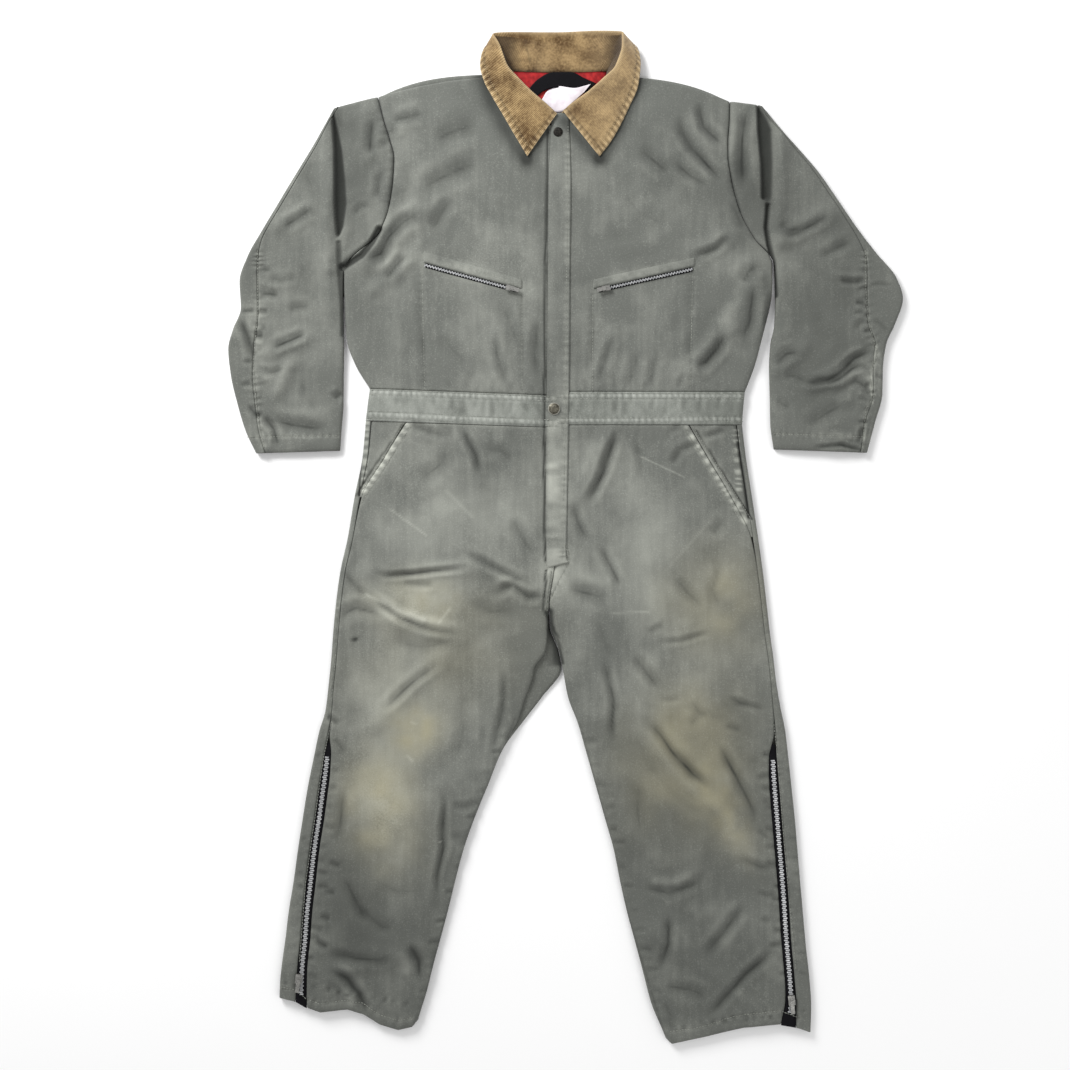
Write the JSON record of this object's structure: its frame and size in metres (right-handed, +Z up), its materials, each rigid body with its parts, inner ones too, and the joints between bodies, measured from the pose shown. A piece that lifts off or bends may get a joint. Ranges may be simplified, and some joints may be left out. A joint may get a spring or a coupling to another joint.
{
  "type": "boiler suit",
  "caption": "Insulated boiler suit laid flat, with corduroy collar, covered front fastening, zipped chest pockets and long zips up the lower legs.",
  "frame": {"origin": "middle of the laid-out suit's bounding box, on the surface it lies on", "axes": "+Y from the hems to the neck, +Z up off the surface through the front, +X to the wearer's left"},
  "size_m": [1.015, 1.52, 0.0222],
  "materials": {
    "shell_twill": "matt twill",
    "shell_band": "matt faded twill",
    "collar_corduroy": "matt ribbed",
    "lining_quilt": "soft sheen",
    "hanger_tape": "matt",
    "label_cloth": "satin",
    "zip_tape": "matt woven",
    "zip_metal": "worn bright",
    "snap_metal": "dulled",
    "snap_rim_metal": "dulled",
    "dark_metal": "blackened"
  },
  "bodies": {
    "suit": {"back_bodice": "shell_twill", "back_leg_left": "shell_twill", "back_leg_right": "shell_twill", "back_waistband": "shell_band", "chest_slider_left": "zip_metal", "chest_slider_right": "zip_metal", "chest_welt_left": "shell_twill", "chest_welt_right": "shell_twill", "chest_zip_left": "zip_metal", "chest_zip_right": "zip_metal", "collar": "collar_corduroy", "fly_placket": "shell_twill", "front_bodice_left": "shell_twill", "front_bodice_right": "shell_twill", "front_leg_left": "shell_twill", "front_leg_right": "shell_twill", "front_waistband_left": "shell_band", "front_waistband_right": "shell_band", "hanger_loop": "hanger_tape", "leg_slider_left": "zip_metal", "leg_slider_right": "zip_metal", "leg_zip_chain_left": "zip_metal", "leg_zip_chain_right": "zip_metal", "leg_zip_tape_left": "zip_tape", "leg_zip_tape_right": "zip_tape", "neck_label": "label_cloth", "neck_lining": "lining_quilt", "neck_snap_cap": "dark_metal", "pocket_facing_left": "shell_twill", "pocket_facing_right": "shell_twill", "under_sleeve_left": "shell_twill", "under_sleeve_right": "shell_twill", "upper_sleeve_left": "shell_twill", "upper_sleeve_right": "shell_twill", "waist_snap_cap": "snap_metal", "waist_snap_rim": "snap_rim_metal"},
    "chest_pull_left": {"chest_pull_left": "zip_metal"},
    "chest_pull_right": {"chest_pull_right": "zip_metal"},
    "leg_pull_left": {"leg_pull_left": "zip_metal"},
    "leg_pull_right": {"leg_pull_right": "zip_metal"}
  },
  "joints": [
    {"name": "chest_pull_left_hinge", "type": "hinge", "parent": "suit", "child": "chest_pull_left", "pos_m": [0.0605, 0.37316, 0.0208], "axis": [-0.228, 0.9737, 0], "range_deg": [0, 150]},
    {"name": "chest_pull_right_hinge", "type": "hinge", "parent": "suit", "child": "chest_pull_right", "pos_m": [-0.0835, 0.37336, 0.02082], "axis": [-0.2667, -0.9638, 0], "range_deg": [0, 150]},
    {"name": "leg_pull_left_hinge", "type": "hinge", "parent": "suit", "child": "leg_pull_left", "pos_m": [0.3385, -0.69304, 0.01733], "axis": [-0.995, -0.0998, 0], "range_deg": [0, 150]},
    {"name": "leg_pull_right_hinge", "type": "hinge", "parent": "suit", "child": "leg_pull_right", "pos_m": [-0.4, -0.66104, 0.0173], "axis": [-0.9928, 0.1197, 0], "range_deg": [0, 150]}
  ]
}
